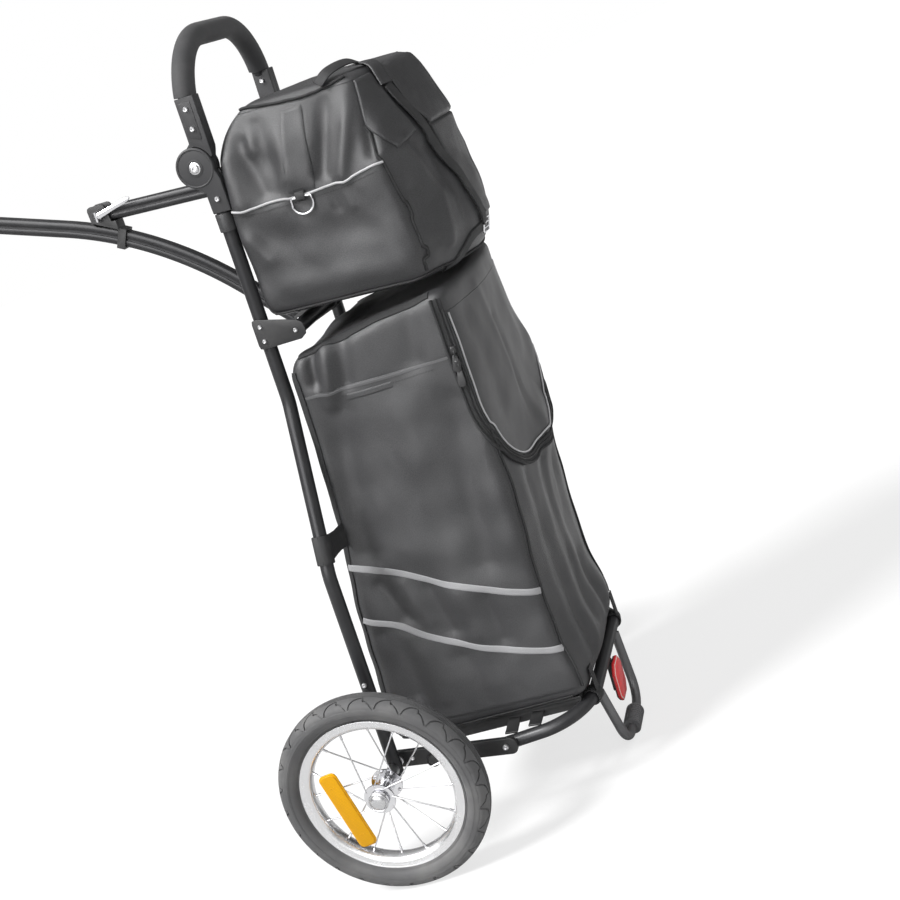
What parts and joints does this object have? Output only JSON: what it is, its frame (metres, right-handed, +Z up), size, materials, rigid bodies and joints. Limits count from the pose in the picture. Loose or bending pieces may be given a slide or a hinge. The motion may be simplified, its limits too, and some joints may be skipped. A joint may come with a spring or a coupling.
{
  "type": "bike shopping trailer",
  "caption": "Upright two-wheeled shopping trailer towed by a bicycle: leaning tube frame, two stacked fabric bags, folding push handle, tow arm with strut and seat-post hitch.",
  "frame": {"origin": "on the floor under the middle of the trailer's box, standing on its two tyres and its foot clip", "axes": "+Z up; +Y the towing direction, towards the bicycle; +X the trailer's right"},
  "size_m": [0.692, 1.0048, 1.3546],
  "materials": {
    "frame_tube": "grey painted aluminium tube, satin",
    "casting": "grey painted aluminium casting",
    "black_steel": "black painted steel",
    "steel": "plated steel bolts, pins and axles",
    "chrome": "polished plate on spokes, hub and lever",
    "rim": "polished aluminium box rim",
    "tyre": "black rubber tyre with a scalloped tread",
    "grip": "dark grey speckled foam",
    "black_plastic": "black moulded nylon",
    "bag_fabric": "black woven polyester",
    "webbing": "black woven webbing",
    "red_lens": "red reflector lens",
    "amber_lens": "amber reflector strip"
  },
  "bodies": {
    "frame": {"left_rail": "frame_tube", "right_rail": "frame_tube", "left_axle": "steel", "right_axle": "steel", "left_side_bar": "black_steel", "right_side_bar": "black_steel", "lower_cross_tube": "frame_tube", "platform_tube": "frame_tube", "base_board": "black_plastic", "front_cross_strip": "black_steel", "rear_cross_strip": "black_steel", "foot_loop": "frame_tube", "foot_clip": "black_plastic", "reflector_stay": "black_plastic", "rear_reflector": "red_lens", "left_hinge_bracket": "casting", "right_hinge_bracket": "casting", "left_hinge_bolt": "steel", "right_hinge_bolt": "steel", "upper_cross_tube": "frame_tube", "mid_cross_tube": "frame_tube", "left_mid_plate": "casting", "right_mid_plate": "casting", "arm_bracket": "black_steel", "arm_pivot_pin": "steel", "lower_bag": "bag_fabric", "upper_bag": "bag_fabric", "left_lower_strap": "webbing", "right_lower_strap": "webbing", "left_base_strap": "webbing", "right_base_strap": "webbing"},
    "left_wheel": {"left_tyre": "tyre", "left_rim": "rim", "left_spoked_hub": "chrome", "left_hub_cap": "black_plastic", "left_wheel_reflector": "amber_lens"},
    "right_wheel": {"right_tyre": "tyre", "right_rim": "rim", "right_spoked_hub": "chrome", "right_hub_cap": "black_plastic", "right_wheel_reflector": "amber_lens"},
    "handle": {"left_handle_leg": "casting", "right_handle_leg": "casting", "handle_tube": "frame_tube", "foam_grip": "grip"},
    "arm": {"tow_arm": "frame_tube", "strut_clamp": "black_plastic", "clamp_skewer": "steel"},
    "lever": {"clamp_lever": "chrome"},
    "strut": {"upper_strut": "frame_tube"},
    "hitch": {"hitch_yoke": "black_steel", "hitch_pitch_pin": "steel"},
    "post_clamp": {"seat_post_clamp": "black_plastic", "seat_post_cap": "black_plastic", "hitch_yaw_pin": "steel"},
    "flap": {"lower_flap": "bag_fabric"},
    "lid": {"upper_lid": "bag_fabric"},
    "left_ring": {"left_d_ring": "black_steel"},
    "right_ring": {"right_d_ring": "black_steel"}
  },
  "joints": [
    {"name": "left_wheel_spin", "type": "hinge", "parent": "frame", "child": "left_wheel", "pos_m": [-0.309, -0.0472, 0.17305], "axis": [1, 0, 0], "continuous": true},
    {"name": "right_wheel_spin", "type": "hinge", "parent": "frame", "child": "right_wheel", "pos_m": [0.309, -0.0472, 0.17305], "axis": [1, 0, 0], "continuous": true},
    {"name": "handle_fold", "type": "hinge", "parent": "frame", "child": "handle", "pos_m": [0, -0.17193, 1.16133], "axis": [1, 0, 0], "range_deg": [-90, 0]},
    {"name": "arm_fold", "type": "hinge", "parent": "frame", "child": "arm", "pos_m": [0, -0.14635, 0.87104], "axis": [1, 0, 0], "range_deg": [-80, 0]},
    {"name": "strut_fold", "type": "hinge", "parent": "frame", "child": "strut", "pos_m": [0, -0.1801, 1.10865], "axis": [1, 0, 0], "range_deg": [-61.6, 0]},
    {"name": "lever_open", "type": "hinge", "parent": "arm", "child": "lever", "pos_m": [-0.0218, 0.09676, 1.15763], "axis": [0, 0.1406, -0.9901], "range_deg": [0, 150]},
    {"name": "hitch_pitch", "type": "hinge", "parent": "arm", "child": "hitch", "pos_m": [0, 0.4165, 1.27757], "axis": [1, 0, 0], "range_deg": [-35, 35]},
    {"name": "hitch_yaw", "type": "hinge", "parent": "hitch", "child": "post_clamp", "pos_m": [0, 0.4462, 1.28179], "axis": [0, -0.1406, 0.9901], "range_deg": [-60, 60]},
    {"name": "flap_open", "type": "hinge", "parent": "frame", "child": "flap", "pos_m": [0, -0.4455, 0.82319], "axis": [1, 0, 0], "range_deg": [-75, 0]},
    {"name": "lid_open", "type": "hinge", "parent": "frame", "child": "lid", "pos_m": [0, -0.24172, 1.18576], "axis": [1, 0, 0], "range_deg": [-70, 0]},
    {"name": "left_ring_swing", "type": "hinge", "parent": "frame", "child": "left_ring", "pos_m": [-0.1768, -0.30374, 1.0618], "axis": [0, 0.9901, 0.1406], "range_deg": [0, 90]},
    {"name": "right_ring_swing", "type": "hinge", "parent": "frame", "child": "right_ring", "pos_m": [0.1768, -0.30374, 1.0618], "axis": [0, -0.9901, -0.1406], "range_deg": [0, 90]}
  ],
  "couplings": [
    {"joint": "strut_fold", "follows": "arm_fold", "ratio": 0.77}
  ]
}
